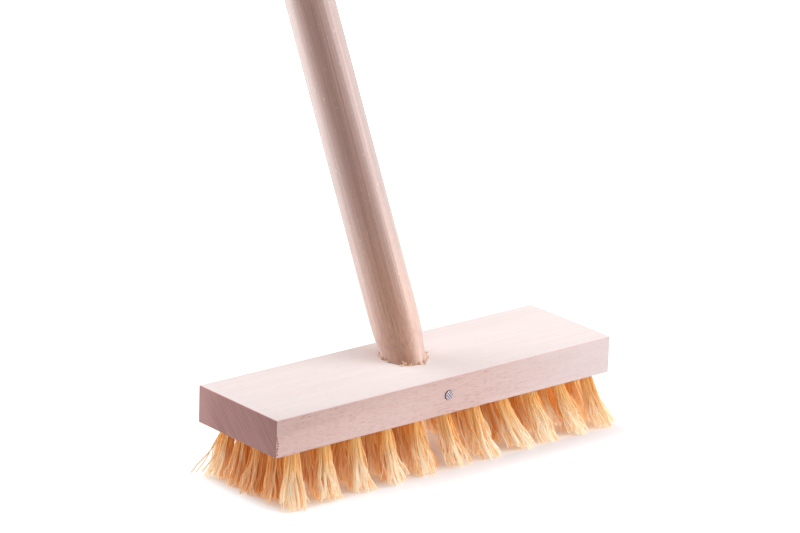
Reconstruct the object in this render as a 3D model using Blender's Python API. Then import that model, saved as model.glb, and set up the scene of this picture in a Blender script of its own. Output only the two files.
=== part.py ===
"""A wooden floor brush: a beech block on tufts of plant fibre, with a long handle nailed into it.

Metres, +Z up. X runs along the block, -Y is the front, where the nail goes in, and the handle
leans back towards +Y. The origin is the middle of the block's underside, the flat face that the
tufts stand in, so the floor lies one bristle length below it.
"""

import math

import bmesh
import bpy
from mathutils import Matrix, Vector

# Block
BLOCK_LENGTH = 0.240
BLOCK_WIDTH = 0.068
BLOCK_THICKNESS = 0.0213
BLOCK_EDGE = 0.0007

# Handle: a round stick, its foot turned down to a slight cone and its top to a dome. The mouth is
# where its axis meets the block's top. The stick narrows to the shoulder and then to the cone.
HANDLE_LENGTH = 1.300
HANDLE_RADIUS = 0.0140
HANDLE_LEAN = math.radians(26.5)
MOUTH_BEHIND_MIDDLE = 0.0043
TAPER_ABOVE_MOUTH = 0.0270
SHOULDER_ABOVE_MOUTH = 0.0130
SHOULDER_CUT = 0.0005
CONE_CUT = 0.0018
CONE_TAPER = 0.0012
FOOT_BEVEL = 0.0006
DOME_HEIGHT = 0.0100
DOME_FLAT_RADIUS = 0.0045
DOME_STEPS = 5
HANDLE_SIDES = 36

# Wood left under the deepest corner of the handle's socket
SOCKET_FLOOR = 0.0015

# Nail, driven through the block's front and the handle's foot, and on into the wood behind it
NAIL_BEYOND_HANDLE = 0.0026
NAIL_RADIUS = 0.00125
NAIL_HEAD_RADIUS = 0.0027
NAIL_HEAD_THICKNESS = 0.0012
NAIL_HEAD_PROUD = 0.0006
NAIL_POINT_LENGTH = 0.0040
NAIL_POINT_RADIUS = 0.0002
NAIL_SIDES = 12

# Tufts, in rows along X from the front. Three have no middle tuft: the handle's foot is there.
TUFT_ROWS = 5
TUFT_COLUMNS = 11
MIDDLE_COLUMN = 6
ROWS_UNDER_HANDLE = (2, 3, 4)
LEFT_MARGIN = 0.0166
RIGHT_MARGIN = 0.0122
SIDE_MARGIN = 0.007
TUFT_HOLE_RADIUS = 0.0038
TUFT_HOLE_DEPTH = 0.0085
TUFT_HOLE_SIDES = 10
PLUG_SIDES = 6

# Wood between the nail and the tuft holes under it, and how far outside the wood a drill starts
NAIL_WALL = 0.0011
DRILL_START = 0.0030

# Bristles: a tuft is one lock of fibre in the middle and five round it, all cut level
BRISTLE_LENGTH = 0.0325
BRISTLE_STRAIGHT = 0.0030
BRISTLE_KNEE = 0.0140
LOCK_TIP_RADIUS = 0.0018
LOCK_SIDES = 3
LOCKS_ROUND = 5
TURN_PER_TUFT = math.radians(137.5)

# How the locks are packed at the root, as shares of the plug's inner radius
LOCK_RING_SHARE = 0.67
LOCK_ROOT_SHARE = 0.30

# How worn tufts lie: all swept towards +X, more at that end, and the outer rows spread outwards
SWEEP_MIDDLE = 0.0085
SWEEP_ENDS = 0.0065
SPREAD_SIDES = 0.0035
SWEEP_CURVE = 1.25

# Clear floor between the tips of neighbouring tufts
TIP_GAP_ALONG = 0.0055
TIP_GAP_ACROSS = 0.0020

# Clearance between pieces that touch
FIT_GAP = 0.0003

# Colour, roughness and metallic value of each material
BLOCK_LOOK = ((0.800, 0.620, 0.540, 1.0), 0.65, 0.0)
HANDLE_LOOK = ((0.560, 0.340, 0.250, 1.0), 0.60, 0.0)
STEEL_LOOK = ((0.520, 0.510, 0.530, 1.0), 0.35, 1.0)
FIBRE_LOOK = ((0.880, 0.600, 0.270, 1.0), 0.70, 0.0)

# Worked out from the sizes above
FIRST_COLUMN_X = LEFT_MARGIN - BLOCK_LENGTH / 2
LAST_COLUMN_X = BLOCK_LENGTH / 2 - RIGHT_MARGIN
LAST_ROW_Y = BLOCK_WIDTH / 2 - SIDE_MARGIN
COLUMN_PITCH = (LAST_COLUMN_X - FIRST_COLUMN_X) / (TUFT_COLUMNS - 1)
ROW_PITCH = 2 * LAST_ROW_Y / (TUFT_ROWS - 1)
PLUG_RADIUS = TUFT_HOLE_RADIUS * math.cos(math.pi / TUFT_HOLE_SIDES) - FIT_GAP
PLUG_INRADIUS = PLUG_RADIUS * math.cos(math.pi / PLUG_SIDES)

# The handle's foot. Its cone ends where the leaning stick is clear of the block's top all round.
CONE_RADIUS = HANDLE_RADIUS - CONE_CUT
FOOT_RADIUS = CONE_RADIUS - CONE_TAPER
CONE_ABOVE_MOUTH = (CONE_RADIUS + FIT_GAP) * math.tan(HANDLE_LEAN)
SOCKET_DEPTH = (
    BLOCK_THICKNESS - SOCKET_FLOOR - (FOOT_RADIUS + FIT_GAP) * math.sin(HANDLE_LEAN)
) / math.cos(HANDLE_LEAN)
HANDLE_IN_SOCKET = SOCKET_DEPTH - FIT_GAP
CONE_SLOPE = CONE_TAPER / (HANDLE_IN_SOCKET + CONE_ABOVE_MOUTH)

# The nail lies a little above the tuft holes, and is as long as its way through the handle asks for
NAIL_HEIGHT = TUFT_HOLE_DEPTH + NAIL_WALL + NAIL_RADIUS + FIT_GAP
AXIS_AT_NAIL = MOUTH_BEHIND_MIDDLE - (BLOCK_THICKNESS - NAIL_HEIGHT) * math.tan(HANDLE_LEAN)
HANDLE_BACK_AT_NAIL = AXIS_AT_NAIL + CONE_RADIUS / math.cos(HANDLE_LEAN)
NAIL_LENGTH = BLOCK_WIDTH / 2 + NAIL_HEAD_PROUD + HANDLE_BACK_AT_NAIL + NAIL_BEYOND_HANDLE


def clear_scene():
    """Remove every object that the scene came with."""
    for thing in list(bpy.data.objects):
        bpy.data.objects.remove(thing, do_unlink=True)


def material(name, look):
    """A Principled material from a colour, a roughness and a metallic value."""
    colour, roughness, metallic = look
    made = bpy.data.materials.new(name)
    made.use_nodes = True
    shader = made.node_tree.nodes["Principled BSDF"]
    shader.inputs["Base Color"].default_value = colour
    shader.inputs["Roughness"].default_value = roughness
    shader.inputs["Metallic"].default_value = metallic
    made.diffuse_color = colour
    return made


def add_object(name, bm, look=None, parent=None, smooth_angle=None):
    """Turn a bmesh into a named object, with its material and parent where it has them."""
    bmesh.ops.recalc_face_normals(bm, faces=bm.faces)
    mesh = bpy.data.meshes.new(name)
    bm.to_mesh(mesh)
    bm.free()
    if smooth_angle is not None:
        mesh.shade_smooth()
        mesh.set_sharp_from_angle(angle=smooth_angle)
    if look is not None:
        mesh.materials.append(look)
    thing = bpy.data.objects.new(name, mesh)
    thing.parent = parent
    bpy.context.scene.collection.objects.link(thing)
    return thing


def add_cutter(name, bm):
    """An object that only cuts others."""
    cutter = add_object(name, bm)
    cutter.hide_render = True
    cutter.display_type = "WIRE"
    return cutter


def cut(thing, cutter):
    """Take the cutter's shape out of an object."""
    boolean = thing.modifiers.new(cutter.name, "BOOLEAN")
    boolean.operation = "DIFFERENCE"
    boolean.solver = "EXACT"
    boolean.object = cutter


def turned(profile, sides):
    """A solid turned about Z from (radius, height) points, with a flat face at each end."""
    bm = bmesh.new()
    points = [bm.verts.new((radius, 0.0, height)) for radius, height in profile]
    edges = [bm.edges.new(pair) for pair in zip(points, points[1:])]
    bmesh.ops.spin(
        bm,
        geom=points + edges,
        cent=(0.0, 0.0, 0.0),
        axis=(0.0, 0.0, 1.0),
        angle=2 * math.pi,
        steps=sides,
    )
    bmesh.ops.remove_doubles(bm, verts=bm.verts, dist=1e-6)
    bmesh.ops.holes_fill(bm, edges=bm.edges)
    return bm


def on_circle(radius, sides, height, centre=(0.0, 0.0), turn=0.0):
    """Points evenly round a level circle."""
    angles = [turn + 2 * math.pi * k / sides for k in range(sides)]
    return [
        Vector((centre[0] + radius * math.cos(a), centre[1] + radius * math.sin(a), height))
        for a in angles
    ]


def closed_loop(bm, points):
    """New vertices at the points, with the edges that join them in a ring."""
    verts = [bm.verts.new(point) for point in points]
    edges = [bm.edges.new((verts[k - 1], verts[k])) for k in range(len(verts))]
    return verts, edges


def wall(bm, upper, lower):
    """Side faces between two rings of equal count."""
    for k in range(len(upper)):
        bm.faces.new((upper[k - 1], upper[k], lower[k], lower[k - 1]))


def lean_at_mouth(thing):
    """Stand a piece that was made along Z in the socket's mouth, leaning as the handle does."""
    thing.location = (0.0, MOUTH_BEHIND_MIDDLE, BLOCK_THICKNESS)
    thing.rotation_euler = (-HANDLE_LEAN, 0.0, 0.0)


def lay_at_front(thing):
    """Lay a piece that was made along Z into the middle of the block's front face."""
    thing.location = (0.0, -BLOCK_WIDTH / 2 - NAIL_HEAD_PROUD, NAIL_HEIGHT)
    thing.rotation_euler = (math.radians(90), 0.0, 0.0)


def cone_radius(depth):
    """The radius of the foot's cone this far below the mouth, along the handle's axis."""
    return CONE_RADIUS - CONE_SLOPE * (CONE_ABOVE_MOUTH + depth)


def tuft_places():
    """Row and column numbers with the x and y of every tuft, front row first."""
    places = []
    for row in range(1, TUFT_ROWS + 1):
        y = (row - 1) * ROW_PITCH - LAST_ROW_Y
        for column in range(1, TUFT_COLUMNS + 1):
            x = FIRST_COLUMN_X + (column - 1) * COLUMN_PITCH
            if column != MIDDLE_COLUMN or row not in ROWS_UNDER_HANDLE:
                places.append((row, column, x, y))
    return places


def tuft_drill(places):
    """A cutter for all the blind tuft holes, which starts below the underside."""
    bm = bmesh.new()
    for _, _, x, y in places:
        middle = (TUFT_HOLE_DEPTH - DRILL_START) / 2
        bmesh.ops.create_cone(
            bm,
            cap_ends=True,
            segments=TUFT_HOLE_SIDES,
            radius1=TUFT_HOLE_RADIUS,
            radius2=TUFT_HOLE_RADIUS,
            depth=TUFT_HOLE_DEPTH + DRILL_START,
            matrix=Matrix.Translation((x, y, middle)),
        )
    return add_cutter("tuft_drill", bm)


def socket_drill():
    """A cutter for the handle's leaning socket, a cone one gap wider than the handle's foot."""
    drill_top = CONE_ABOVE_MOUTH + DRILL_START
    profile = [
        (FOOT_RADIUS + FIT_GAP, -SOCKET_DEPTH),
        (cone_radius(-drill_top) + FIT_GAP, drill_top),
    ]
    cutter = add_cutter("socket_drill", turned(profile, HANDLE_SIDES))
    lean_at_mouth(cutter)
    return cutter


def nail_profile(gap, beyond_head):
    """Nail outline from its point up to its head, grown all round by a gap."""
    under_head = -NAIL_HEAD_THICKNESS - gap
    return [
        (NAIL_POINT_RADIUS + gap, -NAIL_LENGTH - gap),
        (NAIL_RADIUS + gap, NAIL_POINT_LENGTH - NAIL_LENGTH - gap),
        (NAIL_RADIUS + gap, under_head),
        (NAIL_HEAD_RADIUS + gap, under_head),
        (NAIL_HEAD_RADIUS + gap, beyond_head),
    ]


def nail_drill():
    """A cutter for the nail's way through the block and the handle's foot."""
    cutter = add_cutter("nail_drill", turned(nail_profile(FIT_GAP, DRILL_START), NAIL_SIDES))
    lay_at_front(cutter)
    return cutter


def make_block(parent, drills):
    """The planed block with its tuft holes, the handle's socket and the nail's hole."""
    bm = bmesh.new()
    bmesh.ops.create_cube(bm, size=1.0)
    bmesh.ops.scale(bm, vec=(BLOCK_LENGTH, BLOCK_WIDTH, BLOCK_THICKNESS), verts=bm.verts)
    bmesh.ops.translate(bm, vec=(0.0, 0.0, BLOCK_THICKNESS / 2), verts=bm.verts)
    block = add_object("brush_block", bm, material("block_beech", BLOCK_LOOK), parent)
    edge = block.modifiers.new("planed_edges", "BEVEL")
    edge.width = BLOCK_EDGE
    edge.segments = 1
    for drill in drills:
        cut(block, drill)


def handle_profile():
    """Handle outline from its foot in the socket to its domed top."""
    top = HANDLE_LENGTH - HANDLE_IN_SOCKET
    dome_arc = math.acos(DOME_FLAT_RADIUS / HANDLE_RADIUS)
    dome_rise = DOME_HEIGHT / math.sin(dome_arc)
    foot_edge = HANDLE_IN_SOCKET - FOOT_BEVEL
    profile = [
        (FOOT_RADIUS - FOOT_BEVEL, -HANDLE_IN_SOCKET),
        (cone_radius(foot_edge), -foot_edge),
        (CONE_RADIUS, CONE_ABOVE_MOUTH),
        (HANDLE_RADIUS - SHOULDER_CUT, SHOULDER_ABOVE_MOUTH),
        (HANDLE_RADIUS, TAPER_ABOVE_MOUTH),
    ]
    for step in range(DOME_STEPS + 1):
        angle = dome_arc * step / DOME_STEPS
        height = top - DOME_HEIGHT + dome_rise * math.sin(angle)
        profile.append((HANDLE_RADIUS * math.cos(angle), height))
    return profile


def make_handle(parent, drill):
    """The leaning handle, its foot seated in the socket and pierced by the nail."""
    look = material("handle_beech", HANDLE_LOOK)
    bm = turned(handle_profile(), HANDLE_SIDES)
    handle = add_object("handle", bm, look, parent, smooth_angle=math.radians(25))
    lean_at_mouth(handle)
    cut(handle, drill)


def make_nail(parent):
    """The round wire nail that holds the handle."""
    look = material("nail_steel", STEEL_LOOK)
    bm = turned(nail_profile(0.0, 0.0), NAIL_SIDES)
    nail = add_object("handle_nail", bm, look, parent, smooth_angle=math.radians(35))
    lay_at_front(nail)


def lock_ways(first_turn):
    """Outward directions of the middle lock, which has none, and of those round it."""
    turns = [first_turn + 2 * math.pi * k / LOCKS_ROUND for k in range(LOCKS_ROUND)]
    return [Vector()] + [Vector((math.cos(turn), math.sin(turn), 0.0)) for turn in turns]


def tip_centre(way, x, y):
    """Where a lock's tip stands, measured from its tuft's hole."""
    sweep = Vector((
        SWEEP_MIDDLE + SWEEP_ENDS * x / LAST_COLUMN_X,
        SPREAD_SIDES * y / LAST_ROW_Y,
        0.0,
    ))
    tip_pitch_x = COLUMN_PITCH * (1 + SWEEP_ENDS / LAST_COLUMN_X)
    tip_pitch_y = ROW_PITCH * (1 + SPREAD_SIDES / LAST_ROW_Y)
    fan_x = (tip_pitch_x - TIP_GAP_ALONG) / 2 - LOCK_TIP_RADIUS
    fan_y = (tip_pitch_y - TIP_GAP_ACROSS) / 2 - LOCK_TIP_RADIUS
    return sweep + Vector((fan_x * way.x, fan_y * way.y, 0.0))


def lock_sections(way, x, y):
    """A lock's sections from the plug down to the floor: straight at first, then swept."""
    root = way * PLUG_INRADIUS * LOCK_RING_SHARE
    root_radius = PLUG_INRADIUS * LOCK_ROOT_SHARE
    tip = tip_centre(way, x, y)
    turn = math.atan2(way.y, way.x)
    sections = []
    for drop in (0.0, BRISTLE_STRAIGHT, BRISTLE_KNEE, BRISTLE_LENGTH):
        free = max(0.0, (drop - BRISTLE_STRAIGHT) / (BRISTLE_LENGTH - BRISTLE_STRAIGHT))
        centre = root.lerp(tip, free ** SWEEP_CURVE)
        radius = root_radius + (LOCK_TIP_RADIUS - root_radius) * free
        sections.append(on_circle(radius, LOCK_SIDES, -drop, centre, turn))
    return sections


def make_tuft(name, parent, look, x, y, first_turn):
    """One tuft: the plug that fills its hole, and the locks of fibre that grow out of it."""
    bm = bmesh.new()
    plug_low, open_edges = closed_loop(bm, on_circle(PLUG_RADIUS, PLUG_SIDES, 0.0))
    for way in lock_ways(first_turn):
        sections = lock_sections(way, x, y)
        upper, root_edges = closed_loop(bm, sections[0])
        open_edges += root_edges
        for section in sections[1:]:
            lower, _ = closed_loop(bm, section)
            wall(bm, upper, lower)
            upper = lower
        bm.faces.new(upper)
    bmesh.ops.triangle_fill(bm, use_beauty=True, edges=open_edges)
    plug_height = TUFT_HOLE_DEPTH - FIT_GAP
    plug_top, _ = closed_loop(bm, on_circle(PLUG_RADIUS, PLUG_SIDES, plug_height))
    wall(bm, plug_top, plug_low)
    bm.faces.new(plug_top)
    tuft = add_object(name, bm, look, parent)
    tuft.location = (x, y, 0.0)


def main():
    """Build the brush."""
    clear_scene()
    brush = bpy.data.objects.new("floor_brush", None)
    bpy.context.scene.collection.objects.link(brush)
    places = tuft_places()
    nail_way = nail_drill()
    make_block(brush, [tuft_drill(places), socket_drill(), nail_way])
    make_handle(brush, nail_way)
    make_nail(brush)
    fibre = material("plant_fibre", FIBRE_LOOK)
    for count, (row, column, x, y) in enumerate(places):
        name = f"tuft_row{row}_col{column:02d}"
        make_tuft(name, brush, fibre, x, y, count * TURN_PER_TUFT)
    bpy.context.view_layer.update()
    print(f"{len(places)} tufts with {len(places) * (LOCKS_ROUND + 1)} locks of bristle")


main()
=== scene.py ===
# %% [markdown]
# # A wooden floor brush
#
# The real object is simple joinery: a planed beech block, 52 bunches of stiff plant fibre in
# drilled holes, a long turned stick driven into a slanting socket, and one nail that holds it.
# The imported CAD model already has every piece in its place. This lesson gives each of them the
# surface of the real thing: rounded edges and beech flecks, grooves along the stick, the checkered
# head of the nail, and thousands of single wavy fibres.

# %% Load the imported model
import math

import bmesh
import bpy
from mathutils import Matrix, Vector, noise


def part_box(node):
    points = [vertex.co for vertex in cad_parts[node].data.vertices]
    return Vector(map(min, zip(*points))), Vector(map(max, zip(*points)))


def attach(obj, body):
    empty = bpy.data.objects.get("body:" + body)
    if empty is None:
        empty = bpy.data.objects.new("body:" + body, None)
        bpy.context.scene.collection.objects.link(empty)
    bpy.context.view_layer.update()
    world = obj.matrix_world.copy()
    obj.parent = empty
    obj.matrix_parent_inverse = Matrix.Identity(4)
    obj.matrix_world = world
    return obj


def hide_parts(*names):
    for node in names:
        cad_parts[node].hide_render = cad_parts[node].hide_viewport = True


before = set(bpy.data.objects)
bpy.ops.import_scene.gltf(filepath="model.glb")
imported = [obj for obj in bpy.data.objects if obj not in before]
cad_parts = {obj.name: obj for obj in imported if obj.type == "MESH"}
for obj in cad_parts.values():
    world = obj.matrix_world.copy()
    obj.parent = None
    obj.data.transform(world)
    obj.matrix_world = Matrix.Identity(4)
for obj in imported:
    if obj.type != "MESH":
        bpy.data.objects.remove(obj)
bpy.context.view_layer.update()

# %% [markdown]
# ## The camera
#
# The photograph was taken with a long lens from the front left, a little above the block, and
# the camera was tipped by two degrees. The camera is placed by these angles round the middle of
# the block, and then slid up in its own picture plane, which leaves room for the handle.

# %% Place the camera
MM = 0.001
VIEW_AZIMUTH = math.radians(-40.41)
VIEW_ELEVATION = math.radians(18.21)
VIEW_ROLL = math.radians(1.97)
VIEW_DISTANCE = 2.214
VIEW_SLIDE = (-4.95 * MM, 61.86 * MM)
LENS_MM = 180
SENSOR_MM = 36


def level_and_turned(azimuth, elevation, roll):
    """The camera's own right, up and backward directions."""
    flat = math.cos(elevation)
    back = Vector((math.sin(azimuth) * flat, -math.cos(azimuth) * flat, math.sin(elevation)))
    right = Vector((0, 0, 1)).cross(back).normalized()
    up = back.cross(right)
    turn = Matrix.Rotation(roll, 3, back)
    return turn @ right, turn @ up, back


block_low, block_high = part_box("brush_block")
block_middle = (block_low + block_high) / 2
right, up, back = level_and_turned(VIEW_AZIMUTH, VIEW_ELEVATION, VIEW_ROLL)
eye = block_middle + back * VIEW_DISTANCE + right * VIEW_SLIDE[0] + up * VIEW_SLIDE[1]

camera_data = bpy.data.cameras.new("photo_camera")
camera_data.lens = LENS_MM
camera_data.sensor_width = SENSOR_MM
camera_data.clip_end = 50
camera = bpy.data.objects.new("photo_camera", camera_data)
camera.matrix_world = Matrix.Translation(eye) @ Matrix((right, up, back)).transposed().to_4x4()
bpy.context.scene.collection.objects.link(camera)
bpy.context.scene.camera = camera
print("camera at", [round(part, 3) for part in eye])

# %% [markdown]
# ## Two helpers for node trees
#
# Materials and Geometry Nodes are both trees of nodes. A `Bench` adds nodes to one tree, and a
# `Wire` is one output of a node. Python's own arithmetic works on wires, so `1 - mask` adds the
# Math node for it. That keeps a long formula as readable as it would be on paper.

# %% Make nodes from Python sums


class Wire:
    """One output of a node, ready for sums."""

    def __init__(self, bench, socket):
        self.bench = bench
        self.socket = socket

    def __add__(self, other):
        return self.bench.maths("ADD", self, other)

    def __sub__(self, other):
        return self.bench.maths("SUBTRACT", self, other)

    def __rsub__(self, other):
        return self.bench.maths("SUBTRACT", other, self)

    def __mul__(self, other):
        return self.bench.maths("MULTIPLY", self, other)

    def __truediv__(self, other):
        return self.bench.maths("DIVIDE", self, other)

    def __rtruediv__(self, other):
        return self.bench.maths("DIVIDE", other, self)

    def __pow__(self, other):
        return self.bench.maths("POWER", self, other)

    __radd__ = __add__
    __rmul__ = __mul__


class Bench:
    """Adds nodes to one tree and joins them up."""

    def __init__(self, tree):
        self.tree = tree

    def add(self, kind, settings=None, sockets=None, out=0):
        """A node with its settings, then a value or a wire for each socket. Returns an output."""
        node = self.tree.nodes.new(kind)
        for name, value in (settings or {}).items():
            setattr(node, name, value)
        for key, value in (sockets or {}).items():
            if isinstance(value, Wire):
                self.tree.links.new(value.socket, node.inputs[key])
            else:
                node.inputs[key].default_value = value
        return Wire(self, node.outputs[out]) if len(node.outputs) else node

    def other(self, wire, out):
        """Another output of the node that a wire comes from."""
        return Wire(self, wire.socket.node.outputs[out])

    def maths(self, operation, *terms):
        """One Math node."""
        return self.add("ShaderNodeMath", {"operation": operation}, dict(enumerate(terms)))

    def vectors(self, operation, *terms):
        """One Vector Math node."""
        return self.add("ShaderNodeVectorMath", {"operation": operation}, dict(enumerate(terms)))

    def parts(self, vector):
        """The x, y and z of a vector."""
        x = self.add("ShaderNodeSeparateXYZ", sockets={0: vector})
        return x, self.other(x, 1), self.other(x, 2)

    def point(self, x=0.0, y=0.0, z=0.0):
        """A vector from its x, y and z."""
        return self.add("ShaderNodeCombineXYZ", sockets={0: x, 1: y, 2: z})

    def ramp(self, value, low, high, smooth=True):
        """0 below low, 1 above high, and a smooth rise between them."""
        kind = "SMOOTHSTEP" if smooth else "LINEAR"
        sockets = {"Value": value, "From Min": low, "From Max": high}
        return self.add("ShaderNodeMapRange", {"interpolation_type": kind}, sockets)

    def blend(self, share, first, second):
        """A colour between two colours."""
        sockets = {0: share, 6: first, 7: second}
        return self.add("ShaderNodeMix", {"data_type": "RGBA"}, sockets, out=2)

    def noise(self, vector, scale, detail=2.0, roughness=0.5):
        """Soft noise from 0 to 1, with 0.5 in the middle."""
        sockets = {"Vector": vector, "Scale": scale, "Detail": detail, "Roughness": roughness}
        return self.add("ShaderNodeTexNoise", sockets=sockets)

    def grain(self, place, counts, detail=2.0, roughness=0.5):
        """Noise stretched along the wood: how many marks to a metre along x, y and z."""
        marks = [part * count for part, count in zip(place, counts)]
        return self.noise(self.point(*marks), 1.0, detail, roughness)


def colour(red, green, blue):
    """A colour from the 0 to 255 numbers of a picture, in the linear light that nodes use."""
    def linear(value):
        share = value / 255
        return share / 12.92 if share <= 0.04045 else ((share + 0.055) / 1.055) ** 2.4

    return (linear(red), linear(green), linear(blue), 1.0)


def new_material(name):
    """A material with its tree emptied down to the Principled shader."""
    material = bpy.data.materials.new(name)
    material.use_nodes = True
    return material, Bench(material.node_tree), material.node_tree.nodes["Principled BSDF"]


def feed(bench, shader, name, wire):
    """Join a wire to a socket of the shader."""
    bench.tree.links.new(wire.socket, shader.inputs[name])


def set_values(shader, values):
    """Give sockets of the shader their constant numbers."""
    for name, value in values.items():
        shader.inputs[name].default_value = value


# %% [markdown]
# ## Beech
#
# Beech is pale pinkish wood. Its growth rings are faint, and its mark is the rays: thin sheets
# that show as short dark dashes on a side and as fine lines on an end. A picture of wood would
# have a seam at every corner, so the wood is a solid pattern: rings and rays are worked out from
# the place in the block, and each face shows its own cut through them.

# %% Beech for the block
RING_TILT = math.sqrt(0.5)
RING_PITCH = 1.3 * MM
BAND_PITCH = 2.0 * MM
BLOCK_HALF_LENGTH = block_high.x
SKIN_IN, SKIN_OUT = 0.0005, 0.0001
ARRIS_IN, ARRIS_OUT = 0.0009, 0.0003
FRONT_OUT, FRONT_IN = 0.0002, 0.0007


def rays(bench, along, across, through, length, width, depth):
    """Dark dashes, 1 in the middle of each: thin sheets that run along the grain."""
    cells = bench.point(along / length, across / width, through / depth)
    near = bench.add("ShaderNodeTexVoronoi", sockets={"Vector": cells, "Scale": 1.0})
    chance = bench.parts(bench.other(near, 1))[0]
    return (1 - bench.ramp(near, 0.12, 0.48)) * bench.ramp(chance, 0.10, 0.70)


def block_beech():
    """Planed beech: pale on top, flecked on the sides and dark on the end grain. The paler top and
    the paler right half are painted light, and the dark end is partly real end grain and partly
    painted shade.
    """
    material, bench, shader = new_material("planed_beech")
    place = bench.add("ShaderNodeTexCoord", out=3)
    x, y, z = bench.parts(place)
    spot = (x, y, z)
    slow = bench.grain(spot, (9, 45, 45))
    ring_place = (y - z) * RING_TILT + (slow - 0.5) * (4.0 * MM)
    along_ring = (y + z) * RING_TILT
    rings = bench.noise(bench.point(ring_place / RING_PITCH, along_ring * 25, x * 4), 1.0, 2.5, 0.6)
    bands = bench.maths("SINE", ring_place * (2 * math.pi / BAND_PITCH))
    drift = bench.grain(spot, (70, 120, 120))
    height = z + (drift - 0.5) * (1.6 * MM)
    short = rays(bench, x, height, y, 4.6 * MM, 0.70 * MM, 3.0 * MM)
    long = rays(bench, x + 0.03, height + 0.01, y, 7.5 * MM, 0.90 * MM, 3.0 * MM)
    patch = bench.ramp(bench.grain(spot, (22, 60, 75)), 0.35, 0.60)
    dashes = (short * 0.75 + long * 0.55) * (0.55 + patch * 0.45)
    pores = bench.grain(spot, (90, 1500, 1500), 3.0, 0.6)
    grit = bench.noise(place, 1300, 2.0, 0.6)
    broad = bench.grain(spot, (12, 50, 70), 3.0, 0.55)

    from_middle = bench.maths("ABSOLUTE", x)
    end = bench.ramp(from_middle, BLOCK_HALF_LENGTH - SKIN_IN, BLOCK_HALF_LENGTH - SKIN_OUT)
    top = bench.ramp(z, block_high.z - SKIN_IN, block_high.z - SKIN_OUT)
    arris = end * bench.ramp(z, block_high.z - ARRIS_IN, block_high.z - ARRIS_OUT)
    side = (1 - end) * (1 - top)
    front = 1 - bench.ramp(y, block_low.y + FRONT_OUT, block_low.y + FRONT_IN)
    front_arris = front * bench.ramp(z, block_high.z - ARRIS_IN, block_high.z - ARRIS_OUT)
    # Painted light: the right half of the sides is painted paler and calmer, as if lit by the right
    # lamp.
    painted_light_right = bench.ramp(x, 0.0, 0.13)
    mark = dashes * (side * (0.60 - painted_light_right * 0.40) + top * 0.08)
    mark = mark + (rings - 0.5) * (side * 0.25 + top * 0.40 + end * 1.10)
    calm = side * (1 - painted_light_right * 0.5)
    mark = mark + (pores - 0.5) * (calm * 0.45 + top * 0.55 + end * 0.15)
    mark = mark + (grit - 0.5) * (calm * 0.45 + top * 0.10 + end * 0.55)
    mark = mark + (broad - 0.5) * (calm * 0.55 + top * 0.45 + end * 0.35) + 0.30
    mark = mark + end * bands * 0.10
    mark = mark - end * bench.ramp(y, 0.016, block_high.y) * 0.50

    side_wood = bench.blend(mark, colour(225, 198, 192), colour(189, 145, 135))
    painted_lit_side = bench.blend(mark, colour(223, 210, 210), colour(193, 166, 162))
    side_wood = bench.blend(painted_light_right, side_wood, painted_lit_side)
    # Painted light: the top is painted paler than the sides, as if lit from above.
    top_wood = bench.blend(mark, colour(245, 235, 233), colour(227, 204, 200))
    # The end's dark colour is partly real end grain and partly painted shade.
    end_wood = bench.blend(mark, colour(172, 130, 125), colour(132, 91, 85))
    wood = bench.blend(end, bench.blend(top, side_wood, top_wood), end_wood)
    wood = bench.blend(front_arris * 0.30, wood, colour(214, 150, 146))
    wood = bench.blend(arris * 0.6, wood, colour(205, 120, 122))
    feed(bench, shader, "Base Color", wood)
    feed(bench, shader, "Roughness", 0.62 + mark * 0.12)
    sockets = {"Strength": 0.35, "Distance": 0.05 * MM, "Height": 1 - mark}
    feed(bench, shader, "Normal", bench.add("ShaderNodeBump", sockets=sockets))
    set_values(shader, {"Specular IOR Level": 0.30})
    return material


def drilled_beech():
    """The rough wood inside holes and torn places, darker partly as raw wood and partly as painted
    shade in the hollows.
    """
    material, bench, shader = new_material("drilled_beech")
    place = bench.add("ShaderNodeTexCoord", out=3)
    rough = bench.noise(place, 900, 3.0, 0.6)
    wood = bench.blend(rough, colour(196, 134, 116), colour(146, 88, 74))
    feed(bench, shader, "Base Color", wood)
    feed(bench, shader, "Roughness", 0.75 + rough * 0.15)
    return material


beech = block_beech()
bare_and_shaded_beech = drilled_beech()
print("materials:", beech.name, bare_and_shaded_beech.name)

# %% [markdown]
# ## The block
#
# The real block is cut from a board, planed, and drilled. The model does the same: a box, its
# edges rounded by a Bevel whose width each edge sets for itself, and Boolean cuts for the tuft
# holes, the slanting socket and the nail. The upright front edge on the right is softer than the
# others, and the one on the left has small pits where the cutter tore the wood.

# %% Cut the block
HOLE_RADIUS = 3.8 * MM
HOLE_DEPTH = 8.4 * MM
TUFT_DRILL_SIDES = 20
EDGE_ROUND = 1.5 * MM
CRISP_EDGE = 0.4
HANDLE_LEAN = math.radians(26.5)
MOUTH_BEHIND_MIDDLE = 4.3 * MM
MOUTH_RADIUS = 11.87 * MM
FOOT_RADIUS = 11.0 * MM
FOOT_DEPTH = 16.1 * MM
CONE_TOP = 6.2 * MM
CONE_SLOPE = (MOUTH_RADIUS - FOOT_RADIUS) / FOOT_DEPTH
SOCKET_CLEARANCE = 0.15 * MM
SOCKET_CUTTER_RISE = 12 * MM
SOCKET_SIDES = 64
RECESS_RADIUS = 2.85 * MM
RECESS_DEPTH = 1.6 * MM
RECESS_SIDES = 32
TORN_SPOTS = 7
TUFTS = sorted(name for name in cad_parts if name.startswith("tuft"))


def place_mesh(name, mesh):
    """A new object for a finished mesh."""
    thing = bpy.data.objects.new(name, mesh)
    bpy.context.scene.collection.objects.link(thing)
    return thing


def finished(thing):
    """The object with its modifiers worked into its mesh."""
    shown = thing.evaluated_get(bpy.context.evaluated_depsgraph_get())
    mesh = bpy.data.meshes.new_from_object(shown)
    thing.modifiers.clear()
    thing.data = mesh
    return thing


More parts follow.
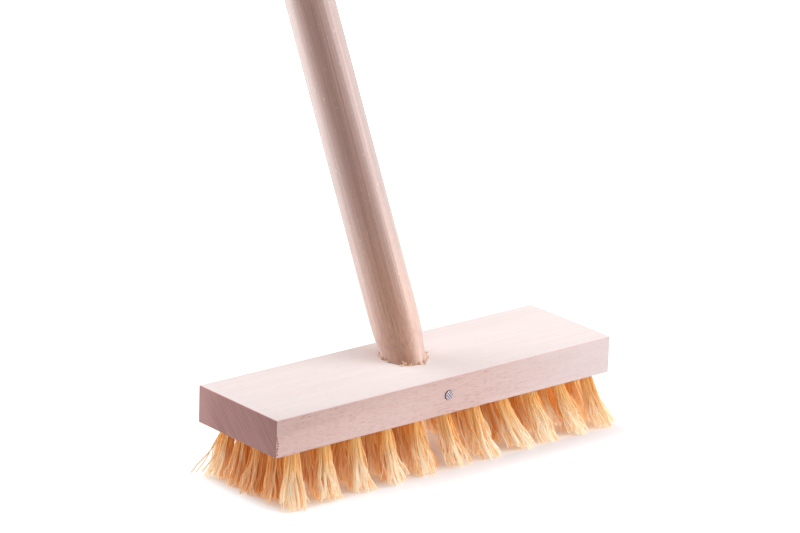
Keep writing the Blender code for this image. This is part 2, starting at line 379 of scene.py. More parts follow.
def from_bmesh(name, bm, *materials):
    """A new object from a bmesh, with its normals pointing out."""
    bmesh.ops.recalc_face_normals(bm, faces=bm.faces)
    mesh = bpy.data.meshes.new(name)
    bm.to_mesh(mesh)
    bm.free()
    for material in materials:
        mesh.materials.append(material)
    return place_mesh(name, mesh)


def hole_middle(node):
    """The middle of a tuft's hole: its CAD solid above the underside is only the plug."""
    plug = [v.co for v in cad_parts[node].data.vertices if v.co.z > MM]
    return Vector((sum(c.x for c in plug), sum(c.y for c in plug), 0)) / len(plug)


def along_axis(start, end):
    """A matrix that lays a shape made along Z between two points, from its middle."""
    way = end - start
    return Matrix.Translation((start + end) / 2) @ way.to_track_quat("Z", "Y").to_matrix().to_4x4()


def drill(bm, start, end, start_radius, end_radius, sides):
    """Add a round cutter between two points."""
    bmesh.ops.create_cone(
        bm,
        cap_ends=True,
        segments=sides,
        radius1=start_radius,
        radius2=end_radius,
        depth=(end - start).length,
        matrix=along_axis(start, end),
    )


def cut_away(thing, cutter):
    """Cut a cutter out of a block, and give the cut faces the cutter's material."""
    boolean = thing.modifiers.new(cutter.name, "BOOLEAN")
    boolean.object = cutter
    boolean.operation = "DIFFERENCE"
    boolean.solver = "EXACT"
    boolean.material_mode = "TRANSFER"


def smooth_but_for(thing, degrees):
    """Shade an object smooth, but for edges that turn by more than an angle."""
    thing.data.shade_smooth()
    thing.data.set_sharp_from_angle(angle=math.radians(degrees))


def uneven(x, y):
    """Smooth noise between -1 and 1."""
    return noise.noise(Vector((x, y, 0.0)))


handle_axis = Vector((0, math.sin(HANDLE_LEAN), math.cos(HANDLE_LEAN)))
mouth = Vector((0, MOUTH_BEHIND_MIDDLE, block_high.z))
nail_low, nail_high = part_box("handle_nail")
nail_place = Vector((0, block_low.y, (nail_low.z + nail_high.z) / 2))

bm = bmesh.new()
for tuft in TUFTS:
    middle = hole_middle(tuft)
    below, hole_top = middle - Vector((0, 0, MM)), middle + Vector((0, 0, HOLE_DEPTH))
    drill(bm, below, hole_top, HOLE_RADIUS, HOLE_RADIUS, TUFT_DRILL_SIDES)
tuft_holes = from_bmesh("tuft_holes", bm, bare_and_shaded_beech)

bm = bmesh.new()
socket_end = mouth - handle_axis * FOOT_DEPTH
cutter_top = mouth + handle_axis * SOCKET_CUTTER_RISE
outer_radius = MOUTH_RADIUS + CONE_SLOPE * SOCKET_CUTTER_RISE + SOCKET_CLEARANCE
drill(bm, socket_end, cutter_top, FOOT_RADIUS + SOCKET_CLEARANCE, outer_radius, SOCKET_SIDES)
socket_cutter = from_bmesh("socket_cutter", bm, bare_and_shaded_beech)

bm = bmesh.new()
recess_end = nail_place + Vector((0, RECESS_DEPTH, 0))
drill(bm, nail_place - Vector((0, MM, 0)), recess_end, RECESS_RADIUS, RECESS_RADIUS, RECESS_SIDES)
nail_recess = from_bmesh("nail_recess", bm, bare_and_shaded_beech)

bm = bmesh.new()
for number in range(TORN_SPOTS):
    height = block_low.z + (2.2 + 1.55 * number + 0.9 * uneven(number * 3.1, 8.3)) * MM
    inward = (0.9 + 0.9 * uneven(number * 1.7, 0.3)) * MM
    size = (0.72 + 0.35 * uneven(number * 2.3, 5.1)) * MM
    spot = Vector((block_low.x + inward, block_low.y - 0.68 * size, height))
    shape = Matrix.Translation(spot) @ Matrix.Diagonal((size, size, 1.25 * size, 1))
    bmesh.ops.create_icosphere(bm, subdivisions=2, radius=1.0, matrix=shape)
torn_edge = from_bmesh("torn_edge", bm, bare_and_shaded_beech)

bm = bmesh.new()
block_shape = Matrix.Diagonal((*(block_high - block_low), 1))
bmesh.ops.create_cube(bm, size=1.0, matrix=Matrix.Translation(block_middle) @ block_shape)
weights = bm.edges.layers.float.new("bevel_weight_edge")
for edge in bm.edges:
    first, second = (vert.co for vert in edge.verts)
    upright = abs(first.z - second.z) > MM
    edge[weights] = 1.0 if upright and first.x > 0 and first.y < 0 else CRISP_EDGE
block = from_bmesh("planed_block", bm, beech)
rounding = block.modifiers.new("rounded_edges", "BEVEL")
rounding.limit_method = "WEIGHT"
rounding.width = EDGE_ROUND
rounding.segments = 3
cutters = [tuft_holes, socket_cutter, nail_recess, torn_edge]
for cutter in cutters:
    cut_away(block, cutter)
finished(block)
for cutter in cutters:
    bpy.data.objects.remove(cutter)
smooth_but_for(block, 28)
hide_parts("brush_block")
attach(block, "root")
print(f"block: {len(block.data.polygons)} faces, {len(TUFTS)} holes")

# %% [markdown]
# ## The handle
#
# The stick was turned and left unpolished, so fine grooves and raised grain run along it. They
# catch the light, so they are real: a fine lathe shape whose radius changes by a few hundredths
# of a millimetre from one side to the next, and slowly along the length.

# %% Wood for the handle


def handle_beech():
    """Turned beech: fine straight lines along the stick, a few darker streaks and torn specks."""
    material, bench, shader = new_material("turned_beech")
    place = bench.add("ShaderNodeTexCoord", out=3)
    settings = {"vector_type": "TEXTURE"}
    sockets = {"Vector": place, "Location": mouth, "Rotation": (-HANDLE_LEAN, 0, 0)}
    x, y, z = bench.parts(bench.add("ShaderNodeMapping", settings, sockets))
    spot = (x, y, z)
    streaks = bench.grain(spot, (650, 650, 5), 2.0, 0.6)
    lines = bench.grain(spot, (1700, 1700, 9), 1.0)
    fuzz = bench.grain(spot, (1500, 1500, 520), 1.0)
    dashes = rays(bench, z, x, y, 5.0 * MM, 0.8 * MM, 0.8 * MM)
    specks = bench.ramp(bench.grain(spot, (900, 900, 300)), 0.68, 0.80)
    mark = 0.42 + (streaks - 0.5) * 0.45 + (lines - 0.5) * 2.20 + (fuzz - 0.5) * 0.7
    mark = mark + dashes * 0.10
    # Painted light: near the foot the wood is painted warmer, as if lit by bounce light from the
    # block.
    painted_foot_bounce = 1 - bench.ramp(z, 0.0, 0.11)
    pale = bench.blend(painted_foot_bounce, colour(166, 108, 86), colour(203, 136, 90))
    dark = bench.blend(painted_foot_bounce, colour(122, 68, 50), colour(155, 84, 44))
    wood = bench.blend(mark, pale, dark)
    wood = bench.blend(specks * 0.5, wood, colour(250, 232, 222))
    feed(bench, shader, "Base Color", wood)
    feed(bench, shader, "Roughness", 0.58 + mark * 0.12)
    sockets = {"Strength": 0.4, "Distance": 0.05 * MM, "Height": lines + fuzz}
    feed(bench, shader, "Normal", bench.add("ShaderNodeBump", sockets=sockets))
    set_values(shader, {
        "IOR": 1.8,
        "Specular IOR Level": 1.0,
        "Sheen Weight": 1.0,
        "Sheen Roughness": 0.5,
        "Coat Weight": 1.0,
        "Coat Roughness": 0.5,
        "Coat IOR": 1.7,
    })
    return material


turned_beech = handle_beech()
print("material:", turned_beech.name)

# %% Turn the handle
HANDLE_RADIUS = 14.0 * MM
HANDLE_LENGTH = 1.300
FOOT_BEVEL = 0.6 * MM
DOME_HEIGHT = 10 * MM
DOME_FLAT = 4.5 * MM
DOME_STEPS = 14
HANDLE_SIDES = 160
RING_STEP = 9 * MM
GROOVE_DEPTH = 0.018 * MM
SHOULDER = ((1.15, 9.0), (0.6, 13.0), (0.28, 18.0), (0.08, 24.0), (0.0, 30.0))


def lathe(rings, sides, bend=None):
    """A closed solid turned about Z from (radius, height) rings, each point moved by bend."""
    bm = bmesh.new()
    loops = []
    for radius, height in rings:
        loop = []
        for k in range(sides):
            angle = 2 * math.pi * k / sides
            r = radius + (bend(angle, height) if bend else 0.0)
            loop.append(bm.verts.new((r * math.cos(angle), r * math.sin(angle), height)))
        loops.append(loop)
    for lower, upper in zip(loops, loops[1:]):
        for k in range(sides):
            bm.faces.new((lower[k - 1], lower[k], upper[k], upper[k - 1]))
    bm.faces.new(list(reversed(loops[0])))
    bm.faces.new(loops[-1])
    return bm


def groove(angle, height):
    """How far the stick's surface stands in or out, in narrow flutes that change slowly upwards."""
    round_place = Vector((math.cos(angle) * 9, math.sin(angle) * 9, height * 6))
    fine_place = Vector((math.cos(angle) * 22, math.sin(angle) * 22, height * 12))
    return GROOVE_DEPTH * (noise.noise(round_place) + 0.7 * noise.noise(fine_place))


def handle_rings():
    """Rings from the foot in its socket to the domed top."""
    top = HANDLE_LENGTH - FOOT_DEPTH
    rings = [(FOOT_RADIUS - FOOT_BEVEL, -FOOT_DEPTH), (FOOT_RADIUS, FOOT_BEVEL - FOOT_DEPTH)]
    rings += [(MOUTH_RADIUS, 0.0), (MOUTH_RADIUS + CONE_SLOPE * CONE_TOP, CONE_TOP)]
    rings += [(HANDLE_RADIUS - cut * MM, height * MM) for cut, height in SHOULDER]
    straight = top - DOME_HEIGHT - rings[-1][1]
    steps = math.ceil(straight / RING_STEP)
    rings += [(HANDLE_RADIUS, rings[-1][1] + straight * k / steps) for k in range(1, steps)]
    arc = math.acos(DOME_FLAT / HANDLE_RADIUS)
    for k in range(DOME_STEPS + 1):
        angle = arc * k / DOME_STEPS
        height = top - DOME_HEIGHT + DOME_HEIGHT * math.sin(angle) / math.sin(arc)
        rings.append((HANDLE_RADIUS * math.cos(angle), height))
    return rings


bm = lathe(handle_rings(), HANDLE_SIDES, groove)
bm.transform(Matrix.Translation(mouth) @ Matrix.Rotation(-HANDLE_LEAN, 4, "X"))
handle = from_bmesh("turned_handle", bm, turned_beech)
smooth_but_for(handle, 35)
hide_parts("handle")
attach(handle, "root")
print(f"handle: {len(handle.data.polygons)} faces")

# %% [markdown]
# ## The nail
#
# A wire nail's head is struck in a die that leaves a grid of small pyramids, so that the hammer
# doesn't slip. At this size the grid is what says "nail", so it is in the mesh. The head stands
# 0.6 mm proud of the block.

# %% Strike the nail
NAIL_RADIUS = 1.25 * MM
NAIL_HEAD_RADIUS = 2.65 * MM
NAIL_HEAD_THICK = 1.2 * MM
NAIL_LENGTH = 50 * MM
NAIL_POINT = 4 * MM
NAIL_TIP_RADIUS = 0.2 * MM
NAIL_EDGE = 0.15 * MM
NAIL_UNDER_EDGE = 0.1 * MM
RIM_IN, RIM_OUT = 0.12 * MM, 0.02 * MM
NAIL_PROUD = 0.6 * MM
CHECKER_PITCH = 1.3 * MM
CHECKER_DEPTH = 0.24 * MM
HEAD_RINGS = 26
NAIL_SIDES = 72


def bright_steel():
    """Bright drawn steel, dark in the grooves that the die struck."""
    material, bench, shader = new_material("bright_steel")
    place = bench.add("ShaderNodeTexCoord", out=3)
    x, _, z = bench.parts(place)
    x, z = x - nail_place.x, z - nail_place.z
    lines = []
    for way in (x + z, x - z):
        part = bench.maths("FRACT", way * math.sqrt(0.5) / CHECKER_PITCH)
        lines.append(bench.maths("ABSOLUTE", part - 0.5))
    groove_mask = bench.ramp(bench.maths("MAXIMUM", *lines), 0.22, 0.42)
    from_middle = (x ** 2.0 + z ** 2.0) ** 0.5
    # The head's rim is painted brownish dark: painted shade and a painted reflection of the beech.
    rim_shade_and_reflection = bench.ramp(from_middle, NAIL_HEAD_RADIUS - RIM_IN, NAIL_HEAD_RADIUS - RIM_OUT)
    patches = bench.noise(place, 900, 3.0, 0.6)
    steel = bench.blend(patches, colour(240, 232, 238), colour(186, 174, 184))
    steel = bench.blend(groove_mask, steel, colour(116, 100, 110))
    feed(bench, shader, "Base Color", bench.blend(rim_shade_and_reflection, steel, colour(150, 116, 110)))
    feed(bench, shader, "Roughness", 0.30 + patches * 0.22)
    set_values(shader, {"Metallic": 1.0})
    return material


def checker(x, y):
    """Height of the head's pyramids at a place, 0 in the grooves between them."""
    u, v = (x + y) * math.sqrt(0.5) / CHECKER_PITCH, (x - y) * math.sqrt(0.5) / CHECKER_PITCH
    rise = min(1 - abs(2 * (part - math.floor(part)) - 1) for part in (u, v))
    return CHECKER_DEPTH * min(1.0, 1.6 * rise)


face_radius = NAIL_HEAD_RADIUS - NAIL_EDGE
outline = [
    (NAIL_TIP_RADIUS, -NAIL_LENGTH),
    (NAIL_RADIUS, NAIL_POINT - NAIL_LENGTH),
    (NAIL_RADIUS, -NAIL_HEAD_THICK),
    (NAIL_HEAD_RADIUS - NAIL_UNDER_EDGE, -NAIL_HEAD_THICK),
    (NAIL_HEAD_RADIUS, NAIL_EDGE - NAIL_HEAD_THICK),
    (NAIL_HEAD_RADIUS, -NAIL_EDGE),
    (face_radius, 0.0),
]
for k in range(1, HEAD_RINGS):
    outline.append((face_radius * (1 - k / HEAD_RINGS), 0.0))
bm = lathe(outline, NAIL_SIDES)
for vert in bm.verts:
    reach = math.hypot(vert.co.x, vert.co.y)
    if vert.co.z > -1e-9 and reach < face_radius * 0.99:
        vert.co.z = checker(vert.co.x, vert.co.y) - CHECKER_DEPTH
head_place = nail_place - Vector((0, NAIL_PROUD, 0))
bm.transform(Matrix.Translation(head_place) @ Matrix.Rotation(math.pi / 2, 4, "X"))
nail = from_bmesh("checkered_nail", bm, bright_steel())
smooth_but_for(nail, 40)
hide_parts("handle_nail")
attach(nail, "root")
print(f"nail: {len(nail.data.polygons)} faces")

# %% [markdown]
# ## The fibre
#
# The tufts are stiff plant fibre, cream where the light falls on it and orange where light has
# passed through several fibres. Each fibre lets some light through, and on top of that its colour
# and a faint glow are painted from numbers that Geometry Nodes write on the mesh: `tint` differs
# from fibre to fibre, `along` runs from 0 at the root to 1 at the tip, and `deep` runs from 0
# near the outside of the brush to 1 at 8 mm inside it. The fibre is painted orange deep inside
# and near the root (painted shade), and paler with a glow at the tips (partly bleached tips,
# partly painted light). The inner rows at the left end are painted warmer (painted shade), and
# the right half is painted paler (painted light) and has more contrast.

# %% Colour the fibre
PALE_SHARE, DEEP_SHARE = 0.20, 0.46
FIRST_SHADED_X, LAST_SHADED_X = -0.106, -0.094
# Painted light: these glows are emission in fibres that are no lamp. They stand for light inside
# the brush, light passed through from the right, and light at the roots and tips.
DEEP_GLOW = (0.062, 0.021, 0.002, 1.0)
THROUGH_GLOW = (0.25, 0.10, 0.012, 1.0)
PASSED_LIGHT = (1.0, 0.75, 0.42, 1.0)
ROOT_GLOW = (0.060, 0.030, 0.006, 1.0)
TIP_GLOW = (0.17, 0.155, 0.105, 1.0)


def bristle_fibre():
    """Pale fibre that lets warm light through, painted deeper in colour towards the root and inside
    the brush (painted shade), with a painted glow.
    """
    material, bench, shader = new_material("bristle_fibre")
    tint = bench.add("ShaderNodeAttribute", {"attribute_name": "tint"}, out=2)
    along = bench.add("ShaderNodeAttribute", {"attribute_name": "along"}, out=2)
    place = bench.add("ShaderNodeTexCoord", out=3)
    x, y, _ = bench.parts(place)
    deep = bench.add("ShaderNodeAttribute", {"attribute_name": "deep"}, out=2)
    streak = bench.noise(place, 350, 2.0)
    # Paler towards the tip: partly bleached tips, partly painted light from the glowing floor
    # below.
    towards_tip = bench.ramp(along, 0.20, 0.85)
    tan = bench.blend(tint, colour(255, 228, 168), colour(255, 200, 112))
    pale = bench.blend(towards_tip, tan, bench.blend(tint, colour(254, 252, 244), colour(252, 238, 204)))
    orange = bench.blend(tint, colour(248, 195, 92), colour(226, 138, 44))
    # Painted shade: the fibre is painted warmer near the root, under the block, and deep inside the
    # brush.
    root_shade = 1 - bench.ramp(along, 0.08, 0.40)
    # Painted shade on the inner rows of the left end, and painted light that makes the right half
    # paler.
    shaded = (1 - bench.ramp(x, FIRST_SHADED_X, LAST_SHADED_X)) * bench.ramp(y, -0.028, -0.014)
    shaded = shaded * (1 - bench.ramp(y, 0.012, 0.030))
    sunny = bench.ramp(x, -0.05, 0.05)
    warm = deep * (0.62 + root_shade * 0.38) + root_shade * 0.36 + shaded * 0.45 - sunny * 0.14
    contrast = 1.5 + sunny * 0.9 - towards_tip * 0.5 - deep * 0.4
    warm = warm + (tint - 0.5) * contrast + (streak - 0.5) * 0.1
    straw = bench.blend(warm, pale, orange)
    # The left end's inner rows are also painted browner: painted shade.
    feed(bench, shader, "Base Color", bench.blend(shaded * 0.35, straw, colour(205, 130, 70)))
    feed(bench, shader, "Roughness", 0.30 + streak * 0.2)
    # The painted glow: paler at the tips, warmer deep inside the brush and on the right.
    tip_glow = bench.blend(bench.ramp(along, 0.35, 1.0), ROOT_GLOW, TIP_GLOW)
    lit_through = deep * bench.ramp(x - along * 0.06, 0.015, 0.085)
    deep_glow = bench.blend(lit_through, DEEP_GLOW, THROUGH_GLOW)
    feed(bench, shader, "Emission Color", bench.blend(warm, tip_glow, deep_glow))
    set_values(shader, {"Emission Strength": 1.0, "Specular IOR Level": 0.6})
    through = bench.add("ShaderNodeBsdfTranslucent", sockets={"Color": PASSED_LIGHT})
    inside = bench.add("ShaderNodeNewGeometry", out=6)
    thin = PALE_SHARE + bench.ramp(warm, 0.0, 1.0, smooth=False) * (DEEP_SHARE - PALE_SHARE)
    share = thin + inside * (1 - thin)
    sockets = {0: share, 1: Wire(bench, shader.outputs[0]), 2: through}
    both = bench.add("ShaderNodeMixShader", sockets=sockets)
    output = bench.tree.nodes["Material Output"]
    bench.tree.links.new(both.socket, output.inputs["Surface"])
    return material


fibre = bristle_fibre()
print("material:", fibre.name)

# %% [markdown]
# ## The tufts
#
# Each hole holds a bunch of about a hundred fibres. On the real brush they hang together in
# locks that bend alike, fan out below the block, and are all pushed towards one end by use.
# One Geometry Nodes tree grows a row of tufts: it scatters roots over each hole, gives every
# root a thin curve, and then moves the points of the curves. Its named inputs are the sizes
# that a brush maker would choose.

# %% Describe how a fibre hangs
UNDERSIDE_TO_FLOOR = -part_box(TUFTS[0])[0].z
ROOT_DEPTH = 3.5 * MM
TIP_CLEARANCE = 0.25 * MM
STRAYS_FROM_X = -0.13
STRAY_SLOPE = 1.0
HOLES = [hole_middle(tuft) for tuft in TUFTS]
FIRST_HOLE_X, LAST_HOLE_X = min(hole.x for hole in HOLES), max(hole.x for hole in HOLES)
LAST_HOLE_Y = max(hole.y for hole in HOLES)
GOLDEN_ANGLE = math.radians(137.508)
NEARLY_A_TURN = 6.28
OUTER_ROW_Y = 0.027
PATTERN_SHIFT = 3
WAVIER_ABOVE = 0.94
STRAY_ABOVE = 0.98
BRUSH = {
    "Fibres per Tuft": 100,
    "Points per Fibre": 14,
    "Hole Radius": 3.5 * MM,
    "Bristle Length": UNDERSIDE_TO_FLOOR,
    "Fibre Radius": 0.42 * MM,
    "Lock Size": 1.35 * MM,
    "Lock Gather": 0.5,
    "Fan Along": 1.15,
    "Fan Across": 0.95,
    "Sweep Middle": 8.5 * MM,
    "Sweep Change": 7.0 * MM,
    "Sweep Back": 3.5 * MM,
    "Spread Sideways": 3.5 * MM,
    "End Lean": 3.4 * MM,
    "Lock Wave": 8.0 * MM,
    "Fibre Wave": 1.3 * MM,
    "Uneven Tips": 3.0 * MM,
    "Stray Reach": 12.0 * MM,
    "Seed": 4,
}


def named_inputs(tree, values):
    """Give a Geometry Nodes tree its inputs, and return each one's identifier by name."""
    kinds = {int: "NodeSocketInt", float: "NodeSocketFloat"}
    tree.interface.new_socket("Geometry", in_out="INPUT", socket_type="NodeSocketGeometry")
    tree.interface.new_socket("Geometry", in_out="OUTPUT", socket_type="NodeSocketGeometry")
    for name, value in values.items():
        socket = tree.interface.new_socket(name, in_out="INPUT", socket_type=kinds[type(value)])
        socket.default_value = value
    items = [item for item in tree.interface.items_tree if item.in_out == "INPUT"]
    return {item.name: item.identifier for item in items}


def bristle_tree():
    """The tree that grows a row of tufts from the middles of its holes."""
    tree = bpy.data.node_groups.new("bristle_row", "GeometryNodeTree")
    identifiers = named_inputs(tree, BRUSH)
    bench = Bench(tree)
    start = bench.add("NodeGroupInput")
    given = {socket.name: Wire(bench, socket) for socket in start.socket.node.outputs}

    def keep(geometry, name, value, kind="FLOAT_VECTOR"):
        sockets = {"Geometry": geometry, "Name": name, "Value": value}
        return bench.add("GeometryNodeStoreNamedAttribute", {"data_type": kind}, sockets)

    def kept(name, kind="FLOAT_VECTOR"):
        return bench.add("GeometryNodeInputNamedAttribute", {"data_type": kind}, {"Name": name})

    def luck(seed):
        sockets = {"Max": (1, 1, 1), "Seed": given["Seed"] + seed}
        return bench.add("FunctionNodeRandomValue", {"data_type": "FLOAT_VECTOR"}, sockets)

    # roots: a sunflower pattern over each hole
    holes = bench.add("GeometryNodeMeshToPoints", sockets={"Mesh": given["Geometry"]})
    holes = keep(holes, "hole", bench.add("GeometryNodeInputPosition"))
    holes = keep(holes, "tuft", luck(0))
    sockets = {"Geometry": holes, "Amount": given["Fibres per Tuft"]}
    roots = bench.add("GeometryNodeDuplicateElements", {"domain": "POINT"}, sockets)
    number = bench.other(roots, 1)
    tuft_x = bench.parts(kept("tuft"))[0]
    reach = given["Hole Radius"] * ((number + 0.5) / given["Fibres per Tuft"]) ** 0.5
    turn = number * GOLDEN_ANGLE + tuft_x * NEARLY_A_TURN
    root = bench.point(reach * bench.maths("COSINE", turn), reach * bench.maths("SINE", turn))
    roots = keep(roots, "root", root)
    roots = keep(roots, "luck", luck(1))
    roots = keep(roots, "chance", luck(2))

    # one thin curve for each root
    line = bench.add("GeometryNodeCurvePrimitiveLine")
    sockets = {"Curve": line, "Count": given["Points per Fibre"]}
    line = bench.add("GeometryNodeResampleCurve", sockets=sockets)
    fibres = bench.add("GeometryNodeInstanceOnPoints", sockets={"Points": roots, "Instance": line})
    fibres = bench.add("GeometryNodeRealizeInstances", sockets={"Geometry": fibres})

    # the lock that a fibre belongs to
    root_x, root_y, _ = bench.parts(kept("root"))
    hole_x, hole_y, _ = bench.parts(kept("hole"))
    apart_x, apart_y, _ = bench.parts(kept("tuft"))
    shift_x, shift_y = apart_x * PATTERN_SHIFT, apart_y * PATTERN_SHIFT
    cell_place = bench.point(root_x + shift_x, root_y + shift_y)
    settings = {"voronoi_dimensions": "2D"}
    sockets = {"Vector": cell_place, "Scale": 1 / given["Lock Size"]}
    cell = bench.add("ShaderNodeTexVoronoi", settings, sockets)
    lock_x, lock_y, lock_z = bench.parts(bench.other(cell, 1))
    centre_x, centre_y, _ = bench.parts(bench.other(cell, 2))

    # where each point of a fibre goes
    along = bench.add("GeometryNodeSplineParameter")
    luck_x, luck_y, luck_z = bench.parts(kept("luck"))
    chance_x, chance_y, chance_z = bench.parts(kept("chance"))
    whole = given["Bristle Length"] + ROOT_DEPTH
    inside = ROOT_DEPTH / whole
    free = bench.maths("MAXIMUM", (along - inside) / (1 - inside), 0.0)
    short = given["Uneven Tips"] * (luck_x ** 3.0 * 0.5 + lock_z ** 2.0 * 0.6) + TIP_CLEARANCE
    at_end = bench.maths("LESS_THAN", hole_x - hole_y * STRAY_SLOPE, STRAYS_FROM_X)
    wild = bench.maths("GREATER_THAN", chance_x, STRAY_ABOVE) * at_end * (0.5 + luck_y * 0.5)
    drop = ROOT_DEPTH - (whole - short) * along + wild * given["Stray Reach"] * 0.5 * free ** 2.0
    fan = free ** 1.35
    lean = free ** 1.25 * (0.86 + apart_x * 0.28)
    share = hole_x / LAST_HOLE_X
    square = share * share
    sweep = given["Sweep Middle"] + given["Sweep Change"] * bench.maths("TANH", share * 1.4)
    sweep = (sweep - given["Sweep Back"] * square * square) * lean
    spread = given["Spread Sideways"] * (hole_y / OUTER_ROW_Y) * fan
    first = bench.ramp(share * -1.0, 0.77, 0.95) * bench.ramp(hole_y, -0.030, 0.0)
    sweep = sweep - given["End Lean"] * first * lean

    def wave(x, y, z, speed):
        place = bench.point(free * speed + x * 37, y * 53, z * 71)
        sockets = {"Vector": place, "Scale": 1.0, "Detail": 0.0}
        return bench.parts(bench.add("ShaderNodeTexNoise", sockets=sockets, out=1))

    lock_wave_x, lock_wave_y, _ = wave(lock_x, lock_y, lock_z, 2.3)
    own_wave_x, own_wave_y, _ = wave(luck_x, luck_y, luck_z, 1.8)
    edge = (root_x ** 2.0 + root_y ** 2.0) ** 0.5 / given["Hole Radius"]
    stray = 1 + bench.maths("GREATER_THAN", chance_x, WAVIER_ABOVE) * 2.2
    own_size = given["Fibre Wave"] * free ** 0.8 * (0.35 + edge * 0.9) * stray
    lock_size = given["Lock Wave"] * free ** 0.9 * (0.5 + edge * 0.6)
    pull = given["Lock Gather"] * free ** 1.5
    place_x = root_x + (centre_x - shift_x - root_x) * pull
    place_y = root_y + (centre_y - shift_y - root_y) * pull
    wider_x = 1 + given["Fan Along"] * fan
    wider_y = 1 + given["Fan Across"] * fan
    place_x = hole_x + place_x * wider_x
    place_y = hole_y + place_y * wider_y

    # how deep inside the whole brush it is, where light comes only through other fibres
    middle_x, half_x = (FIRST_HOLE_X + LAST_HOLE_X) / 2, (LAST_HOLE_X - FIRST_HOLE_X) / 2
    depth_x = half_x + given["Hole Radius"] * wider_x - bench.maths("ABSOLUTE", place_x - middle_x)
    depth_y = LAST_HOLE_Y + given["Hole Radius"] * wider_y - bench.maths("ABSOLUTE", place_y)
    depth = bench.maths("MINIMUM", depth_x, depth_y)
    place_x = place_x + sweep + (lock_wave_x - 0.5) * lock_size + (own_wave_x - 0.5) * own_size
    place_y = place_y + spread + (lock_wave_y - 0.5) * lock_size + (own_wave_y - 0.5) * own_size
    place_x = place_x - wild * given["Stray Reach"] * 1.6 * free
    sockets = {"Geometry": fibres, "Position": bench.point(place_x, place_y, drop)}
    fibres = bench.add("GeometryNodeSetPosition", sockets=sockets)

    # thickness, shade and material
    thick = given["Fibre Radius"] * (0.75 + chance_y * 0.4) * (1 - free * 0.12)
    sockets = {"Curve": fibres, "Radius": thick}
    fibres = bench.add("GeometryNodeSetCurveRadius", sockets=sockets)
    fibres = keep(fibres, "tint", chance_z * 0.65 + lock_x * 0.35, "FLOAT")
    fibres = keep(fibres, "deep", bench.ramp(depth, 1.0 * MM, 8.0 * MM), "FLOAT")
    fibres = keep(fibres, "along", along, "FLOAT")
    ring = bench.add("GeometryNodeCurvePrimitiveCircle", sockets={"Resolution": 4, "Radius": 1.0})
    radius = bench.add("GeometryNodeInputRadius")
    sockets = {"Curve": fibres, "Profile Curve": ring, "Scale": radius, "Fill Caps": True}
    mesh = bench.add("GeometryNodeCurveToMesh", sockets=sockets)
    for name in ("hole", "tuft", "root", "luck", "chance"):
        sockets = {"Geometry": mesh, "Name": name}
        mesh = bench.add("GeometryNodeRemoveAttribute", sockets=sockets)
    mesh = bench.add("GeometryNodeSetShadeSmooth", sockets={"Geometry": mesh})
    mesh = bench.add("GeometryNodeRealizeInstances", sockets={"Geometry": mesh})
    mesh = bench.add("GeometryNodeSetMaterial", sockets={"Geometry": mesh, "Material": fibre})
    bench.add("NodeGroupOutput", sockets={"Geometry": mesh})
    return tree, identifiers


bristle_row, bristle_inputs = bristle_tree()
print(f"bristle tree: {len(bristle_row.nodes)} nodes, inputs {list(BRUSH)}")

# %% Grow the tufts row by row


def grow(name, tree, identifiers, mesh, **changed):
    """Run a Geometry Nodes tree on a mesh and keep the result as a plain mesh."""
    thing = place_mesh(name, mesh)
    modifier = thing.modifiers.new(name, "NODES")
    modifier.node_group = tree
    for key, value in changed.items():
        modifier[identifiers[key]] = value
    return finished(thing)


ROW_NAMES = sorted({tuft.split("_")[1] for tuft in TUFTS})
for number, row in enumerate(ROW_NAMES):
    members = [tuft for tuft in TUFTS if row in tuft]
    mesh = bpy.data.meshes.new(row)
    mesh.from_pydata([hole_middle(tuft) for tuft in members], [], [])
    seed = BRUSH["Seed"] + 10 * number
    tufts = grow(f"bristles_{row}", bristle_row, bristle_inputs, mesh, Seed=seed)
    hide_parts(*members)
    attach(tufts, "root")
    print(f"{tufts.name}: {len(members)} tufts, {len(tufts.data.polygons)} faces")

# %% [markdown]
# ## Splinters round the foot
#
# Driving the stick into its socket shaved crumbs and curls off it, and they still lie in the
# corner between the stick and the block. A small curled chip is scattered round the ring.

# %% Scatter the splinters
CHIP = {"Chips": 70, "Ring Radius": MOUTH_RADIUS, "Chip Size": 2.4, "Seed": 3}


def chip_mesh():
    """A curled shaving about a millimetre long, thick enough to be solid."""
    bm = bmesh.new()
    rings = []
    for k in range(5):
        angle = 0.55 * k
        middle = Vector((0.55 * math.sin(angle), 0, 0.55 * (1 - math.cos(angle)))) * MM
        out = Vector((math.sin(angle), 0, -math.cos(angle)))
        wide = (0.32 - 0.05 * k) * MM
        thin = 0.07 * MM
        corners = [(-wide, -thin), (wide, -thin), (wide, thin), (-wide, thin)]
        rings.append([bm.verts.new(middle + Vector((0, w, 0)) + out * t) for w, t in corners])
    for lower, upper in zip(rings, rings[1:]):
        for k in range(4):
            bm.faces.new((lower[k - 1], lower[k], upper[k], upper[k - 1]))
    bm.faces.new(list(reversed(rings[0])))
    bm.faces.new(rings[-1])
    return bm


def splinter_wood():
    """Freshly torn wood, paler than the stick."""
    material, bench, shader = new_material("splinter_wood")
    place = bench.add("ShaderNodeTexCoord", out=3)
    rough = bench.noise(place, 800, 2.0)
    torn = bench.ramp(bench.noise(place, 260, 1.0), 0.42, 0.62)
    pale = bench.blend(rough, colour(255, 244, 230), colour(244, 206, 176))
    feed(bench, shader, "Base Color", bench.blend(torn, pale, colour(238, 190, 150)))
    feed(bench, shader, "Roughness", 0.6 + rough * 0.2)
    return material


